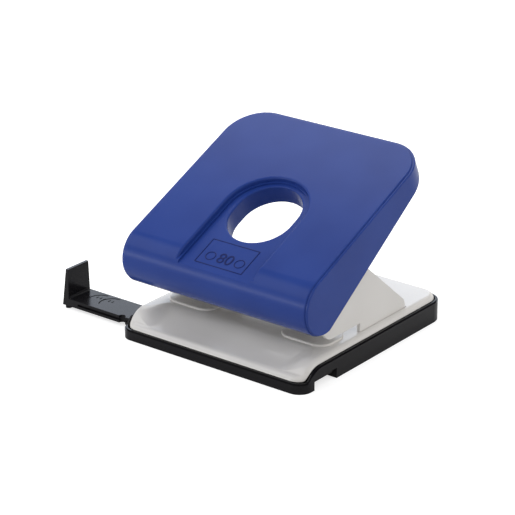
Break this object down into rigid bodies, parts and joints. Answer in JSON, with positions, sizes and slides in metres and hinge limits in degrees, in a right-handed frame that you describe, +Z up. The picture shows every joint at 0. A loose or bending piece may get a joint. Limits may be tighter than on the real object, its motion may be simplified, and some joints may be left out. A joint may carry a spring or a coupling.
{
  "type": "two-hole desk paper punch",
  "caption": "Desk punch: a broad hinged lever drives two punches through paper in a front slot, with a sliding paper guide and a hinged chip tray.",
  "frame": {"origin": "middle of the footprint on the desk", "axes": "+X to the user's right, +Y to the rear, +Z up; the paper goes in from -Y"},
  "size_m": [0.1827, 0.1384, 0.1068],
  "materials": {
    "grey_enamel": "light grey stoved enamel, satin",
    "hardened_steel": "ground",
    "bright_steel": "drawn bar, bright",
    "spring_steel": "oil tempered",
    "zinc_plated_strip": "zinc plated",
    "blue_moulding": "satin moulded, deep blue",
    "black_moulding": "satin moulded, black"
  },
  "bodies": {
    "base": {"base_plate": "grey_enamel", "bearing_frame": "grey_enamel", "die_bush_left": "hardened_steel", "die_bush_right": "hardened_steel", "guide_channel": "grey_enamel", "lever_axle": "bright_steel", "axle_clip_left": "spring_steel", "axle_clip_right": "spring_steel", "frame_rivets": "bright_steel", "saddle_rivets": "bright_steel", "rail_saddle_left": "zinc_plated_strip", "rail_saddle_right": "zinc_plated_strip", "rail_detent_spring": "spring_steel"},
    "lever": {"lever_cover": "blue_moulding", "lever_plate": "zinc_plated_strip", "press_bar": "bright_steel", "cover_screws": "zinc_plated_strip"},
    "punch_left": {"punch_pin_left": "hardened_steel", "return_spring_left": "spring_steel"},
    "punch_right": {"punch_pin_right": "hardened_steel", "return_spring_right": "spring_steel"},
    "paper_guide": {"paper_guide": "black_moulding"},
    "tray": {"chip_tray": "black_moulding"}
  },
  "joints": [
    {"name": "lever_hinge", "type": "hinge", "parent": "base", "child": "lever", "pos_m": [0, -0.049, 0.046], "axis": [-1, 0, 0], "range_deg": [0, 24], "stiffness_Nm_per_rad": 0.94, "springref_deg": -17.19},
    {"name": "punch_left_slide", "type": "slide", "parent": "base", "child": "punch_left", "axis": [0, 0, -1], "range_m": [0, 0.00909], "deforming": ["return_spring_left"]},
    {"name": "punch_right_slide", "type": "slide", "parent": "base", "child": "punch_right", "axis": [0, 0, -1], "range_m": [0, 0.00909], "deforming": ["return_spring_right"]},
    {"name": "guide_slide", "type": "slide", "parent": "base", "child": "paper_guide", "axis": [1, 0, 0], "range_m": [-0.035, 0.048]},
    {"name": "tray_hinge", "type": "hinge", "parent": "base", "child": "tray", "pos_m": [0, 0.066, 0.005], "axis": [1, 0, 0], "range_deg": [0, 60]}
  ],
  "couplings": [
    {"joint": "punch_left_slide", "follows": "lever_hinge", "m_per_rad": 0.02165},
    {"joint": "punch_right_slide", "follows": "lever_hinge", "m_per_rad": 0.02165}
  ]
}
